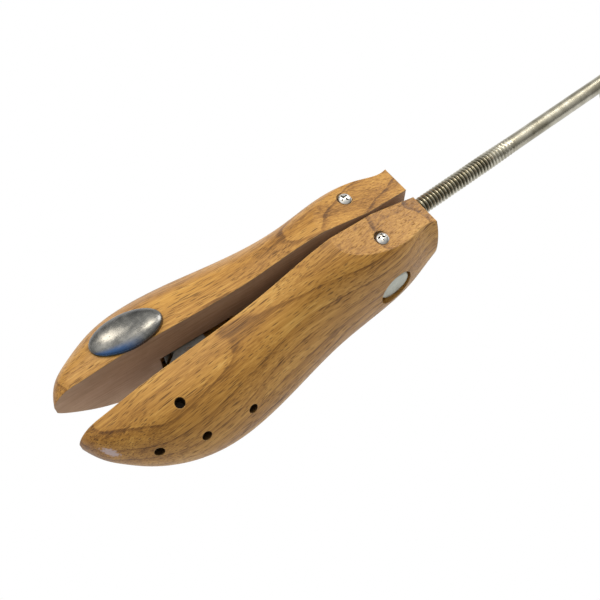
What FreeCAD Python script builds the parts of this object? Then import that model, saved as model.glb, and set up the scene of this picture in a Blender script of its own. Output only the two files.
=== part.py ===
import FreeCAD, Part
import math
import os
import Sketcher
from FreeCAD import Placement, Rotation, Vector

# Split wooden shoe stretcher. The model's frame: +X to the toe, +Y to the left half, +Z up,
# the sole on Z = 0. Every piece is drawn in the mechanism's own frame, whose origin is
# the crossing of the rod's axis and the cross barrel's axis, and then seated.

doc = FreeCAD.newDocument("ShoeTree")
sheet = doc.addObject("Spreadsheet::Sheet", "Sheet")

DIMENSIONS = [
    # seat of the mechanism in the model's frame
    ("pivot_forward", 16.3),
    ("rod_height", 25.5),
    # swing of the halves
    ("pivot_side", 14.0),
    ("rest_swing", 3.26),
    ("full_swing", 7.0),
    ("rod_stroke", 18.0),
    # wooden half
    ("parting_gap", 1.0),
    ("heel_gap", 4.45),
    ("heel_back", 31.0),
    ("parting_land_back", 5.0),
    ("facet_height", 27.8),
    ("facet_front", 28.0),
    ("facet_slope", 13.8),
    ("facet_tilt", 6.5),
    ("toe_length", 15.6),
    ("toe_tip_height", 16.0),
    ("barrel_bore_radius", 10.0),
    ("barrel_bore_turn", 3.5),
    ("heel_channel_radius", 9.2),
    ("front_channel_radius", 6.3),
    # the control points stand outside the curve, so this share of their span is the wood
    ("section_fullness", 0.948),
    # wedge pocket and wear plate
    ("pocket_height", 14.0),
    ("pocket_back", 74.0),
    ("pocket_depth", 20.0),
    ("pocket_front", 114.0),
    ("contact_reach", 104.5),
    ("contact_side", 7.0),
    ("rib_radius", 3.0),
    ("plate_slope", 34.0),
    ("plate_thickness", 2.5),
    ("plate_width", 13.0),
    ("plate_back", 91.0),
    ("plate_front", 111.5),
    ("plate_screw_pitch", 6.4),
    ("plate_screw_reach", 95.6),
    ("plate_screw_radius", 1.3),
    ("plate_head_radius", 2.4),
    ("plate_head_depth", 1.2),
    ("plate_screw_length", 9.0),
    # cross barrel and pivot screws
    ("barrel_radius", 8.9),
    ("barrel_half_length", 27.5),
    ("barrel_edge", 0.8),
    ("pivot_radius", 2.5),
    ("running_gap", 0.06),
    ("pivot_head_radius", 3.5),
    ("pivot_head_height", 2.0),
    ("pivot_head_rim", 0.3),
    ("pivot_head_seat", 27.0),
    ("pivot_seat_radius", 4.0),
    ("pivot_length", 43.6),
    ("recess_span", 4.2),
    ("recess_width", 1.0),
    ("recess_depth", 1.1),
    # rod
    ("rod_radius", 4.7625),
    ("shank_radius", 4.375),
    ("journal_radius", 3.5),
    ("journal_length", 16.0),
    ("groove_radius", 2.6),
    ("groove_width", 3.2),
    ("thread_back", 101.0),
    ("run_out", 8.0),
    ("rod_back", 195.45),
    # wedge
    ("wedge_height", 10.5),
    ("wedge_length", 22.0),
    ("wedge_rear_half", 18.65),
    ("wedge_clearance", 0.3),
    ("wedge_round", 1.2),
    ("washer_radius", 5.1),
    ("washer_thickness", 1.5),
    ("washer_play", 0.02),
    ("pin_radius", 1.5),
    # handle
    ("handle_back", 190.45),
    ("hub_radius", 8.0),
    ("hub_length", 16.0),
    ("bar_radius", 3.5),
    ("bar_half_length", 20.0),
    ("bar_neck", 0.5),
    ("cap_radius", 5.0),
    ("cap_socket_depth", 3.2),
    ("handle_pin_radius", 1.0),
    ("handle_pin_ahead", 5.0),
    # bunion plug and its bores
    ("bore_radius", 2.4),
    ("bore_depth", 10.0),
    ("peg_radius", 2.3),
    ("peg_length", 9.0),
    ("peg_head", 2.0),
    ("dome_half_length", 17.6),
    ("dome_half_width", 10.0),
    ("dome_height", 4.4),
    ("dome_ahead", 0.6),
    ("dome_inset", 3.7),
    ("dome_rise", 0.8),
    ("dome_skirt", 5.0),
    ("dome_lip_height", 31.0),
    ("dome_turn", -5.0),
    ("dome_gap", 0.3),
]

for row, (alias, value) in enumerate(DIMENSIONS, 1):
    cell = "A%d" % row
    sheet.set(cell, str(value))
    sheet.setAlias(cell, alias)

# Stations of the wooden half, from heel to toe: reach along X, half width, height of the
# top, height of the sole, the share of the width that the top's shoulder keeps, and the
# share that the flank's belly reaches.
STATIONS = [
    ("heel", -31.0, 26.2, 30.0, -17.0, 0.84, 1.02),
    ("counter", -12.0, 29.3, 33.0, -25.4, 0.84, 1.02),
    ("waist", 10.0, 30.5, 34.2, -27.0, 0.86, 1.02),
    ("instep", 35.0, 30.7, 34.0, -27.0, 0.68, 1.06),
    ("joint", 60.0, 32.7, 30.0, -27.0, 0.66, 1.12),
    ("ball", 90.0, 35.9, 29.2, -27.0, 0.73, 1.12),
    ("tread", 115.0, 35.7, 30.6, -22.0, 0.74, 1.12),
    ("vamp", 135.0, 30.2, 30.8, -13.8, 0.77, 1.12),
    ("toe_root", 150.0, 21.4, 29.4, -3.6, 0.76, 1.12),
]
FULL_BELLY = 1.12
# Cuts meant to pass right through a half are this long.
THROUGH_CUT = 120
STATION_WORDS = ("reach", "width", "top", "sole", "shoulder", "belly")
for number, (station, *values) in enumerate(STATIONS, 1):
    for column, word, value in zip("CDEFGH", STATION_WORDS, values):
        cell = "%s%d" % (column, number)
        sheet.set(cell, str(value))
        sheet.setAlias(cell, "%s_%s" % (station, word))
doc.recompute()


def size(alias):
    """Value of one cell of the sheet, as a plain number."""
    return float(getattr(sheet, alias))


swing = math.radians(size("rest_swing"))
wedge_slope = math.radians(size("full_swing")) * size("contact_reach") / size("rod_stroke")
wedge_angle = math.atan(wedge_slope)
seat = Placement(Vector(size("pivot_forward"), 0, size("rod_height")), Rotation())


def half_placement(side):
    """Seat of what rides on one half: turned about its pivot screw by the rest swing."""
    pivot = Vector(0, side * size("pivot_side"), 0)
    turn = Placement(Vector(), Rotation(Vector(0, 0, 1), side * size("rest_swing")), pivot)
    return seat.multiply(turn)


def plane(body, role):
    for feature in body.Origin.OriginFeatures:
        if feature.Role == role:
            return feature
    raise ValueError(role)


def new_body(label):
    body = doc.addObject("PartDesign::Body", label)
    body.Label = label
    return body


def new_sketch(body, name, role, offset=None):
    sketch = body.newObject("Sketcher::SketchObject", name)
    sketch.AttachmentSupport = [(plane(body, role), "")]
    sketch.MapMode = "FlatFace"
    if offset is not None:
        sketch.AttachmentOffset = offset
    return sketch


def bind(sketch, index, expression):
    if expression is not None:
        sketch.setExpression("Constraints[%d]" % index, expression)


def place_point(sketch, geometry, end, spot, expressions=(None, None)):
    """Holds one point of the sketch at its coordinates, bound to the sheet when named."""
    for kind, value, expression in zip(("DistanceX", "DistanceY"), spot, expressions):
        axis = -2 if kind == "DistanceX" else -1
        if abs(value) < 1e-9:
            sketch.addConstraint(Sketcher.Constraint("PointOnObject", geometry, end, axis))
        else:
            index = sketch.addConstraint(Sketcher.Constraint(kind, -1, 1, geometry, end, value))
            bind(sketch, index, expression)


def add_circle(sketch, spot, radius, radius_name=None, expressions=(None, None)):
    circle = Part.Circle(Vector(spot[0], spot[1], 0), Vector(0, 0, 1), radius)
    index = sketch.addGeometry(circle, False)
    place_point(sketch, index, 3, spot, expressions)
    bound = sketch.addConstraint(Sketcher.Constraint("Radius", index, radius))
    if radius_name:
        bind(sketch, bound, radius_name)
    return index


def add_polygon(sketch, corners):
    """Closed outline; each corner is (x, y) or (x, y, expression of x, expression of y)."""
    first = sketch.GeometryCount
    count = len(corners)
    for number, corner in enumerate(corners):
        after = corners[(number + 1) % count]
        line = Part.LineSegment(Vector(corner[0], corner[1], 0), Vector(after[0], after[1], 0))
        sketch.addGeometry(line, False)
    for number in range(count):
        after = first + (number + 1) % count
        sketch.addConstraint(Sketcher.Constraint("Coincident", first + number, 2, after, 1))
    for number, corner in enumerate(corners):
        expressions = corner[2:4] if len(corner) == 4 else (None, None)
        place_point(sketch, first + number, 1, corner[:2], expressions)


def pad(body, sketch, name, length, length_name=None, both_ways=True):
    feature = body.newObject("PartDesign::Pad", name)
    feature.Profile = sketch
    feature.Length = length
    feature.Midplane = both_ways
    if length_name:
        feature.setExpression("Length", length_name)
    return feature


def cut_pocket(body, sketch, name, length, length_name=None, reverse=None):
    """Pocket that must take wood or metal away; reverse None cuts both ways."""
    doc.recompute()
    before = body.Shape.Volume
    feature = body.newObject("PartDesign::Pocket", name)
    feature.Profile = sketch
    feature.Length = length
    feature.Midplane = reverse is None
    feature.Reversed = bool(reverse)
    if length_name:
        feature.setExpression("Length", length_name)
    doc.recompute()
    if body.Shape.Volume > before - 0.01:
        raise RuntimeError("%s cuts nothing" % name)
    return feature


def revolve(body, sketch, name, axis="H_Axis"):
    feature = body.newObject("PartDesign::Revolution", name)
    feature.Profile = sketch
    feature.ReferenceAxis = (sketch, [axis])
    feature.Angle = 360.0
    return feature


def name_of(alias):
    return "Sheet." + alias


# ---------------------------------------------------------------- wooden halves

def station_outline(station, half_width, top, sole, shoulder, belly):
    """Control points of one cross-section, from the top of the parting face round the
    outside to the bottom of the parting face: side, height, and each point's share of the
    width, as the sheet's own words, and of the height."""
    gap = size("parting_gap")
    span = (half_width - gap) * size("section_fullness")
    height = top - sole
    keep = "Sheet.%s_shoulder" % station
    round_text = "Sheet.%s_belly" % station
    foot = 1 + 0.4 * (FULL_BELLY - belly)
    foot_text = "(1 + 0.4 * (%s - %s))" % (FULL_BELLY, round_text)
    shares = [
        (0.0, "0", 0.0),
        (0.55 * shoulder, "0.55 * " + keep, 0.005),
        (shoulder, keep, 0.12),
        (belly, round_text, 0.52),
        (foot, foot_text, 0.90),
        (0.62, "0.62", 1.0),
        (0.0, "0", 1.0),
    ]
    for across, share, down in shares:
        yield gap + across * span, top - down * height, share, down


def station_sketch(body, side, name, reach, values, bound):
    offset = Placement(Vector(0, 0, reach), Rotation())
    sketch = new_sketch(body, name + "_section", "YZ_Plane", offset)
    points = list(station_outline(name, *values))
    curve = Part.BSplineCurve()
    curve.buildFromPoles([Vector(side * y, z, 0) for y, z, share, down in points], False, 3)
    outline = sketch.addGeometry(curve, False)
    low = Vector(side * points[-1][0], points[-1][1], 0)
    high = Vector(side * points[0][0], points[0][1], 0)
    parting = sketch.addGeometry(Part.LineSegment(low, high), False)
    sketch.addConstraint(Sketcher.Constraint("Coincident", outline, 2, parting, 1))
    sketch.addConstraint(Sketcher.Constraint("Coincident", parting, 2, outline, 1))
    sketch.exposeInternalGeometry(outline)
    for number, (y, z, share, down) in enumerate(points):
        expressions = (None, None)
        if bound:
            across_text = "%d * (Sheet.parting_gap + %s * %s * (%s - Sheet.parting_gap))" % (
                side, share, "Sheet.section_fullness", "Sheet.%s_width" % name)
            down_text = "Sheet.%s_top - %s * (Sheet.%s_top - Sheet.%s_sole)" % (
                name, down, name, name)
            expressions = (across_text, down_text)
        place_point(sketch, parting + 1 + number, 3, (side * y, z), expressions)
    if bound:
        sketch.setExpression(".AttachmentOffset.Base.z", "Sheet.%s_reach" % name)
    return sketch


def toe_stations():
    """The toe closes as a rounded beak ahead of the last full station."""
    _, reach, width, top, sole, shoulder, belly = STATIONS[-1]
    gap = size("parting_gap")
    length = size("toe_length")
    tip_top = size("toe_tip_height") + 1.5
    tip_sole = size("toe_tip_height") - 1.5
    for number, share in enumerate((0.35, 0.62, 0.82, 0.94, 0.985), 1):
        half_width = gap + (width - gap) * (1 - 0.62 * share - 0.38 * share ** 5)
        high = tip_top + (top - tip_top) * (1 - share ** 2.6) ** 0.6
        low = tip_sole - (tip_sole - sole) * (1 - share) ** 0.8
        ahead = reach + length * share
        yield "toe_%d" % number, ahead, half_width, high, low, shoulder, belly


# Bunion-plug bores: reach, side and height of the mouth, and the way out. The plug stands
# in the right half's top bore, which lies nearer to the parting face than the left half's.
PLUG_BORE = ("top_bore", (121.5, 13.6, 28.5), (0.0, 0.19, 0.98))
LEFT_TOP_BORE = ("top_bore", (122.4, 17.4, 28.5), (0.0, 0.22, 0.975))
SIDE_BORES = [
    ("side_front_bore", (141.0, 25.0, 15.8), (0.41, 0.84, 0.36)),
    ("side_middle_bore", (120.5, 31.8, 12.5), (0.09, 0.89, 0.45)),
    ("side_back_bore", (96.0, 34.0, 7.5), (-0.02, 0.92, 0.39)),
]


def bores_of(side):
    return [LEFT_TOP_BORE if side > 0 else PLUG_BORE] + SIDE_BORES


def bore_place(side, spot, way):
    """Placement whose Z leaves the bore's mouth, in the half's own frame."""
    mouth = Vector(spot[0], side * spot[1], spot[2])
    out = Vector(way[0], side * way[1], way[2])
    return Placement(mouth, Rotation(Vector(0, 0, 1), out))


def plate_line(reach, inset=0.0):
    """Side distance of the wear plate's rubbing face, or of a line set behind it."""
    slope = math.radians(size("plate_slope"))
    behind = inset / math.cos(slope)
    return size("contact_side") + (size("contact_reach") - reach) * math.tan(slope) + behind


def plate_text(reach_text, inset_text="0"):
    return ("(Sheet.contact_side + (Sheet.contact_reach - %s) * tan(Sheet.plate_slope * 1 deg)"
            " + %s / cos(Sheet.plate_slope * 1 deg))") % (reach_text, inset_text)


def make_half(label, side):
    body = new_body(label)
    sections = []
    for name, reach, *values in STATIONS:
        sections.append(station_sketch(body, side, name, reach, values, True))
    for name, reach, *values in toe_stations():
        sections.append(station_sketch(body, side, name, reach, values, False))
    loft = body.newObject("PartDesign::AdditiveLoft", label + "_last")
    loft.Profile = sections[0]
    loft.Sections = sections[1:]

    # Flat facet over the pivots: falls to the heel and a little to the outside.
    tilt = Rotation(Vector(0, 1, 0), -size("facet_slope"))
    tilt = tilt.multiply(Rotation(Vector(1, 0, 0), -side * size("facet_tilt")))
    base = Vector(0, side * size("pivot_side"), size("facet_height"))
    facet = new_sketch(body, label + "_facet", "XY_Plane", Placement(base, tilt))
    back = -2 * size("heel_back")
    front = size("facet_front")
    wide = size("barrel_half_length") + 3
    add_polygon(facet, [(back, -wide), (front, -wide), (front, wide), (back, wide)])
    cut_pocket(body, facet, label + "_facet_cut", 30, reverse=True)

    # The sole is planed flat where the half stands.
    below = Placement(Vector(60, 0, -size("rod_height")), Rotation())
    sole = new_sketch(body, label + "_sole", "XY_Plane", below)
    sole.setExpression(".AttachmentOffset.Base.z", "-Sheet.rod_height")
    reach = STATIONS[-1][1] / 2 + size("heel_back")
    wide = 2 * size("barrel_half_length")
    add_polygon(sole, [(-reach, -wide), (reach, -wide), (reach, wide), (-reach, wide)])
    cut_pocket(body, sole, label + "_sole_cut", 10, reverse=False)

    # The parting face leans back behind the pivot, so that the halves can swing.
    relief = new_sketch(body, label + "_relief", "XY_Plane")
    heel = size("heel_back") + 4
    start = size("parting_land_back")
    lean = (size("heel_gap") - size("parting_gap")) / (size("heel_back") - start)
    far_gap = size("parting_gap") + (heel - start) * lean
    add_polygon(relief, [(-start, 0), (-heel, 0), (-heel, side * far_gap),
                         (-start, side * size("parting_gap"), "-Sheet.parting_land_back",
                          "%d * Sheet.parting_gap" % side)])
    cut_pocket(body, relief, label + "_relief_cut", THROUGH_CUT)

    # Channels for the rod, the barrel's bore and the pivot screw's hole and seat.
    channel = new_sketch(body, label + "_heel_channel", "YZ_Plane",
                         Placement(Vector(0, 0, -heel), Rotation()))
    add_circle(channel, (0, 0), size("heel_channel_radius"), name_of("heel_channel_radius"))
    cut_pocket(body, channel, label + "_heel_channel_cut", 2 * (heel + 12))
    channel_back = size("barrel_bore_radius") - 5
    channel_front = size("pocket_back") + 2
    middle = (channel_back + channel_front) / 2
    channel = new_sketch(body, label + "_front_channel", "YZ_Plane",
                         Placement(Vector(0, 0, middle), Rotation()))
    add_circle(channel, (0, 0), size("front_channel_radius"), name_of("front_channel_radius"))
    cut_pocket(body, channel, label + "_front_channel_cut", channel_front - channel_back)
    # The barrel's bore is turned about the pivot, so that the barrel lies in the middle of
    # it when the half is halfway through its swing.
    aim = Placement(Vector(0, 0, -side * size("pivot_side")),
                    Rotation(Vector(0, 1, 0), -side * size("barrel_bore_turn")))
    bore = new_sketch(body, label + "_barrel_bore", "XZ_Plane", aim)
    add_circle(bore, (0, 0), size("barrel_bore_radius"), name_of("barrel_bore_radius"))
    cut_pocket(body, bore, label + "_barrel_bore_cut", THROUGH_CUT)
    side_text = "%d * Sheet.pivot_side" % side
    hole = new_sketch(body, label + "_pivot_hole", "XY_Plane")
    add_circle(hole, (0, side * size("pivot_side")), size("pivot_radius"),
               name_of("pivot_radius"), (None, side_text))
    depth = 2 * (size("pivot_length") - size("pivot_head_seat"))
    cut_pocket(body, hole, label + "_pivot_hole_low", depth,
               "2 * (Sheet.pivot_length - Sheet.pivot_head_seat)")
    seat_offset = Placement(Vector(0, 0, size("pivot_head_seat")), Rotation())
    upper = new_sketch(body, label + "_pivot_upper", "XY_Plane", seat_offset)
    add_circle(upper, (0, side * size("pivot_side")), size("pivot_radius"),
               name_of("pivot_radius"), (None, side_text))
    cut_pocket(body, upper, label + "_pivot_hole_high", 22, reverse=False)
    mouth = new_sketch(body, label + "_pivot_seat", "XY_Plane", seat_offset)
    mouth.setExpression(".AttachmentOffset.Base.z", name_of("pivot_head_seat"))
    add_circle(mouth, (0, side * size("pivot_side")), size("pivot_seat_radius"),
               name_of("pivot_seat_radius"), (None, side_text))
    cut_pocket(body, mouth, label + "_pivot_seat_cut", 8, reverse=True)

    # Pocket in which the wedge slides, with the inclined seat of the wear plate.
    pocket = new_sketch(body, label + "_wedge_pocket", "XY_Plane")
    back = size("plate_back")
    front = size("pocket_front")
    thick = size("plate_thickness")
    corners = [
        (size("pocket_back"), 0, name_of("pocket_back"), None),
        (size("pocket_back"), side * size("pocket_depth"), name_of("pocket_back"),
         "%d * Sheet.pocket_depth" % side),
        (back - 3, side * size("pocket_depth"), "Sheet.plate_back - 3",
         "%d * Sheet.pocket_depth" % side),
        (back, side * plate_line(back, thick), name_of("plate_back"),
         "%d * " % side + plate_text("Sheet.plate_back", "Sheet.plate_thickness")),
        (front, side * plate_line(front, thick), name_of("pocket_front"),
         "%d * " % side + plate_text("Sheet.pocket_front", "Sheet.plate_thickness")),
        (front, 0, name_of("pocket_front"), None),
    ]
    add_polygon(pocket, corners)
    cut_pocket(body, pocket, label + "_wedge_pocket_cut", size("pocket_height"),
               name_of("pocket_height"))

    # Bores for the bunion plug and pilot holes for the wear plate's screws.
    for name, spot, way in bores_of(side):
        drill = new_sketch(body, "%s_%s" % (label, name), "XY_Plane", bore_place(side, spot, way))
        add_circle(drill, (0, 0), size("bore_radius"), name_of("bore_radius"))
        cut_pocket(body, drill, "%s_%s_cut" % (label, name), 2 * size("bore_depth"),
                   "2 * Sheet.bore_depth")
    for number, place in enumerate(plate_screw_places(side), 1):
        pilot = new_sketch(body, "%s_pilot_%d" % (label, number), "XY_Plane", place)
        add_circle(pilot, (0, 0), size("plate_screw_radius"), name_of("plate_screw_radius"))
        cut_pocket(body, pilot, "%s_pilot_%d_cut" % (label, number),
                   2 * size("plate_screw_length"), "2 * Sheet.plate_screw_length")
    body.Placement = half_placement(side)
    return body


# ---------------------------------------------------------------- wear plates

def plate_screw_places(side):
    """Seats of the two screws on the plate's rubbing face; Z points out of the wood."""
    slope = math.radians(size("plate_slope"))
    reach = size("plate_screw_reach")
    out = Vector(-math.sin(slope), -side * math.cos(slope), 0)
    turn = Rotation(Vector(0, 0, 1), out)
    half = size("plate_screw_pitch") / 2
    for height in (-half, half):
        yield Placement(Vector(reach, side * plate_line(reach), height), turn)


def make_wear_plate(label, side):
    """Steel strip with a half-round rib that the wedge's flank rubs on."""
    body = new_body(label)
    profile = new_sketch(body, label + "_profile", "XY_Plane")
    back = size("plate_back")
    front = size("plate_front")
    thick = size("plate_thickness")
    corners = []
    for reach, alias, inset, depth in (
        (back, "plate_back", "0", 0),
        (front, "plate_front", "0", 0),
        (front, "plate_front", "Sheet.plate_thickness", thick),
        (back, "plate_back", "Sheet.plate_thickness", thick),
    ):
        text = "%d * " % side + plate_text(name_of(alias), inset)
        corners.append((reach, side * plate_line(reach, depth), name_of(alias), text))
    add_polygon(profile, corners)
    pad(body, profile, label + "_strip", size("plate_width"), name_of("plate_width"))
    rib = new_sketch(body, label + "_rib", "XY_Plane")
    add_circle(rib, (size("contact_reach"), side * size("contact_side")), size("rib_radius"),
               name_of("rib_radius"), (name_of("contact_reach"),
                                       "%d * Sheet.contact_side" % side))
    pad(body, rib, label + "_rib_pad", size("plate_width"), name_of("plate_width"))
    # The rib is pressed out of the strip, so nothing of it shows behind the strip.
    trim = new_sketch(body, label + "_trim", "XY_Plane")
    add_polygon(trim, [
        (back, side * plate_line(back, thick)),
        (front, side * plate_line(front, thick)),
        (front, side * plate_line(front, thick + 3)),
        (back, side * plate_line(back, thick + 3)),
    ])
    cut_pocket(body, trim, label + "_trim_cut", 2 * size("plate_width"))
    for number, place in enumerate(plate_screw_places(side), 1):
        hole = new_sketch(body, "%s_hole_%d" % (label, number), "XY_Plane", place)
        add_circle(hole, (0, 0), size("plate_screw_radius"), name_of("plate_screw_radius"))
        cut_pocket(body, hole, "%s_hole_%d_cut" % (label, number), 3 * thick)
        sink = new_sketch(body, "%s_sink_%d" % (label, number), "XY_Plane", place)
        add_circle(sink, (0, 0), size("plate_head_radius"), name_of("plate_head_radius"))
        cut_pocket(body, sink, "%s_sink_%d_cut" % (label, number),
                   2 * size("plate_head_depth"), "2 * Sheet.plate_head_depth")
    body.Placement = half_placement(side)
    return body


def make_plate_screws(label, side):
    """Two flat-headed wood screws, kept as a group of separate solids."""
    screws = []
    for number, place in enumerate(plate_screw_places(side), 1):
        head = doc.addObject("Part::Cylinder", "%s_head_%d" % (label, number))
        head.setExpression("Radius", name_of("plate_head_radius"))
        head.setExpression("Height", name_of("plate_head_depth"))
        head.Placement = Placement(Vector(0, 0, -size("plate_head_depth")), Rotation())
        shank = doc.addObject("Part::Cylinder", "%s_shank_%d" % (label, number))
        shank.setExpression("Radius", name_of("plate_screw_radius"))
        shank.setExpression("Height", "Sheet.plate_screw_length - Sheet.plate_head_depth")
        shank.Placement = Placement(Vector(0, 0, -size("plate_screw_length")), Rotation())
        screw = doc.addObject("Part::Fuse", "%s_screw_%d" % (label, number))
        screw.Base = head
        screw.Tool = shank
        screw.Placement = place
        screws.append(screw)
    group = doc.addObject("Part::Compound", label)
    group.Label = label
    group.Links = screws
    group.Placement = half_placement(side)
    return group


# ---------------------------------------------------------------- barrel and pivot screws

def make_barrel(label):
    body = new_body(label)
    outline = new_sketch(body, label + "_outline", "XZ_Plane")
    add_circle(outline, (0, 0), size("barrel_radius"), name_of("barrel_radius"))
    cylinder = pad(body, outline, label + "_pad", 2 * size("barrel_half_length"),
                   "2 * Sheet.barrel_half_length")
    doc.recompute()
    rims = []
    for number, edge in enumerate(body.Shape.Edges, 1):
        if isinstance(edge.Curve, Part.Circle):
            rims.append("Edge%d" % number)
    chamfer = body.newObject("PartDesign::Chamfer", label + "_rims")
    chamfer.Base = (cylinder, rims)
    chamfer.setExpression("Size", name_of("barrel_edge"))
    rod_hole = new_sketch(body, label + "_rod_hole", "YZ_Plane")
    add_circle(rod_hole, (0, 0), size("rod_radius") + size("running_gap"),
               "Sheet.rod_radius + Sheet.running_gap")
    cut_pocket(body, rod_hole, label + "_rod_hole_cut", 40)
    for side, word in ((1, "left"), (-1, "right")):
        hole = new_sketch(body, "%s_%s_hole" % (label, word), "XY_Plane")
        add_circle(hole, (0, side * size("pivot_side")), size("pivot_radius") + size("running_gap"),
                   "Sheet.pivot_radius + Sheet.running_gap",
                   (None, "%d * Sheet.pivot_side" % side))
        cut_pocket(body, hole, "%s_%s_hole_cut" % (label, word), 40)
    body.Placement = seat
    return body


def dome_point(crown, rim_radius, rise):
    """Point halfway down a dome whose centre lies on the axis below the crown."""
    radius = (rim_radius ** 2 + rise ** 2) / (2 * rise)
    half_angle = math.asin(rim_radius / radius) / 2
    return crown + Vector(radius * math.sin(half_angle), radius * (math.cos(half_angle) - 1), 0)


def make_pivot_screw(label, side):
    """Dome-headed screw with a cross recess; its plain shank is the half's pivot."""
    body = new_body(label)
    profile = new_sketch(body, label + "_profile", "XZ_Plane",
                         Placement(Vector(0, 0, -side * size("pivot_side")), Rotation()))
    seat_height = size("pivot_head_seat")
    head = size("pivot_head_radius")
    rise = size("pivot_head_height")
    shank = size("pivot_radius")
    low = seat_height - size("pivot_length")
    rim_height = size("pivot_head_rim")
    crown = Vector(0, seat_height + rise, 0)
    rim = Vector(head, seat_height + rim_height, 0)
    shoulder = dome_point(crown, head, rise - rim_height)
    first = sketch_chain(profile, [
        Vector(0, low, 0),
        Vector(shank - 1.2, low, 0),
        Vector(shank, low + 2.0, 0),
        Vector(shank, seat_height, 0),
        Vector(head, seat_height, 0),
        rim,
    ])
    profile.addGeometry(Part.Arc(rim, shoulder, crown), False)
    profile.addGeometry(Part.LineSegment(crown, Vector(0, low, 0)), False)
    for number in range(first, profile.GeometryCount):
        profile.addConstraint(Sketcher.Constraint("Block", number))
    revolve(body, profile, label + "_turned", "V_Axis")
    recess = new_sketch(body, label + "_recess", "XY_Plane",
                        Placement(Vector(0, side * size("pivot_side"), seat_height + rise),
                                  Rotation(Vector(0, 0, 1), 45 + 20 * side)))
    arm = size("recess_span") / 2
    slot = size("recess_width") / 2
    add_polygon(recess, [(arm, -slot), (arm, slot), (slot, slot), (slot, arm), (-slot, arm),
                         (-slot, slot), (-arm, slot), (-arm, -slot), (-slot, -slot),
                         (-slot, -arm), (slot, -arm), (slot, -slot)])
    cut_pocket(body, recess, label + "_recess_cut", 2 * size("recess_depth"),
               "2 * Sheet.recess_depth")
    body.Placement = half_placement(side)
    return body


def sketch_chain(sketch, points):
    """Open run of straight lines through the points; returns the first line's number."""
    first = sketch.GeometryCount
    for start, end in zip(points, points[1:]):
        sketch.addGeometry(Part.LineSegment(start, end), False)
    return first


# ---------------------------------------------------------------- rod, wedge, washer and pins

def wedge_half_width(forward):
    """Half width of the wedge at rest, so that its flanks just clear the wear plates' ribs."""
    reach = size("contact_reach")
    out = size("contact_side") - size("pivot_side")
    contact_x = reach * math.cos(swing) - out * math.sin(swing)
    contact_y = size("pivot_side") + reach * math.sin(swing) + out * math.cos(swing)
    gap = (size("rib_radius") + size("wedge_clearance")) / math.cos(wedge_angle)
    return contact_y - gap + (contact_x - forward) * wedge_slope


wedge_back = (wedge_half_width(0) - size("wedge_rear_half")) / wedge_slope
wedge_nose = wedge_back + size("wedge_length")
washer_back = wedge_back - size("washer_thickness")
journal_end = wedge_back + size("journal_length")
groove_middle = journal_end - 6.0
pin_side = size("groove_radius") + size("pin_radius") + size("running_gap")
pin_side_text = "(Sheet.groove_radius + Sheet.pin_radius + Sheet.running_gap)"


def make_rod(label):
    """Turned rod: journal in the wedge, major diameter of the thread, run-out and shank."""
    body = new_body(label)
    profile = new_sketch(body, label + "_profile", "XY_Plane")
    major = size("rod_radius")
    shank = size("shank_radius")
    journal = size("journal_radius")
    groove = size("groove_radius")
    half = size("groove_width") / 2
    back = size("thread_back")
    end = size("rod_back")
    journal_text = name_of("journal_radius")
    add_polygon(profile, [
        (-end, 0, "-Sheet.rod_back", None),
        (-end, shank - 1, "-Sheet.rod_back", "Sheet.shank_radius - 1"),
        (1 - end, shank, "1 - Sheet.rod_back", name_of("shank_radius")),
        (-back, shank, "-Sheet.thread_back", name_of("shank_radius")),
        (size("run_out") - back, major, "Sheet.run_out - Sheet.thread_back",
         name_of("rod_radius")),
        (washer_back, major, None, name_of("rod_radius")),
        (washer_back, journal, None, journal_text),
        (groove_middle - half, journal, None, journal_text),
        (groove_middle - half, groove, None, name_of("groove_radius")),
        (groove_middle + half, groove, None, name_of("groove_radius")),
        (groove_middle + half, journal, None, journal_text),
        (journal_end - 0.8, journal, None, journal_text),
        (journal_end, journal - 0.8, None, "Sheet.journal_radius - 0.8"),
        (journal_end, 0),
    ])
    revolve(body, profile, label + "_turned")
    hole = new_sketch(body, label + "_bar_hole", "XY_Plane")
    add_circle(hole, (-size("handle_back"), 0), size("bar_radius") - size("bar_neck"),
               "Sheet.bar_radius - Sheet.bar_neck", ("-Sheet.handle_back", None))
    cut_pocket(body, hole, label + "_bar_hole_cut", 30)
    cut_pin_hole(body, label)
    body.Placement = seat
    return body


def cut_pin_hole(body, label):
    """Hole for the pin that locks the handle's hub on the rod."""
    hole = new_sketch(body, label + "_pin_hole", "XZ_Plane")
    ahead = size("handle_pin_ahead") - size("handle_back")
    add_circle(hole, (ahead, 0), size("handle_pin_radius"), name_of("handle_pin_radius"),
               ("Sheet.handle_pin_ahead - Sheet.handle_back", None))
    cut_pocket(body, hole, label + "_pin_hole_cut", 30)


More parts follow.
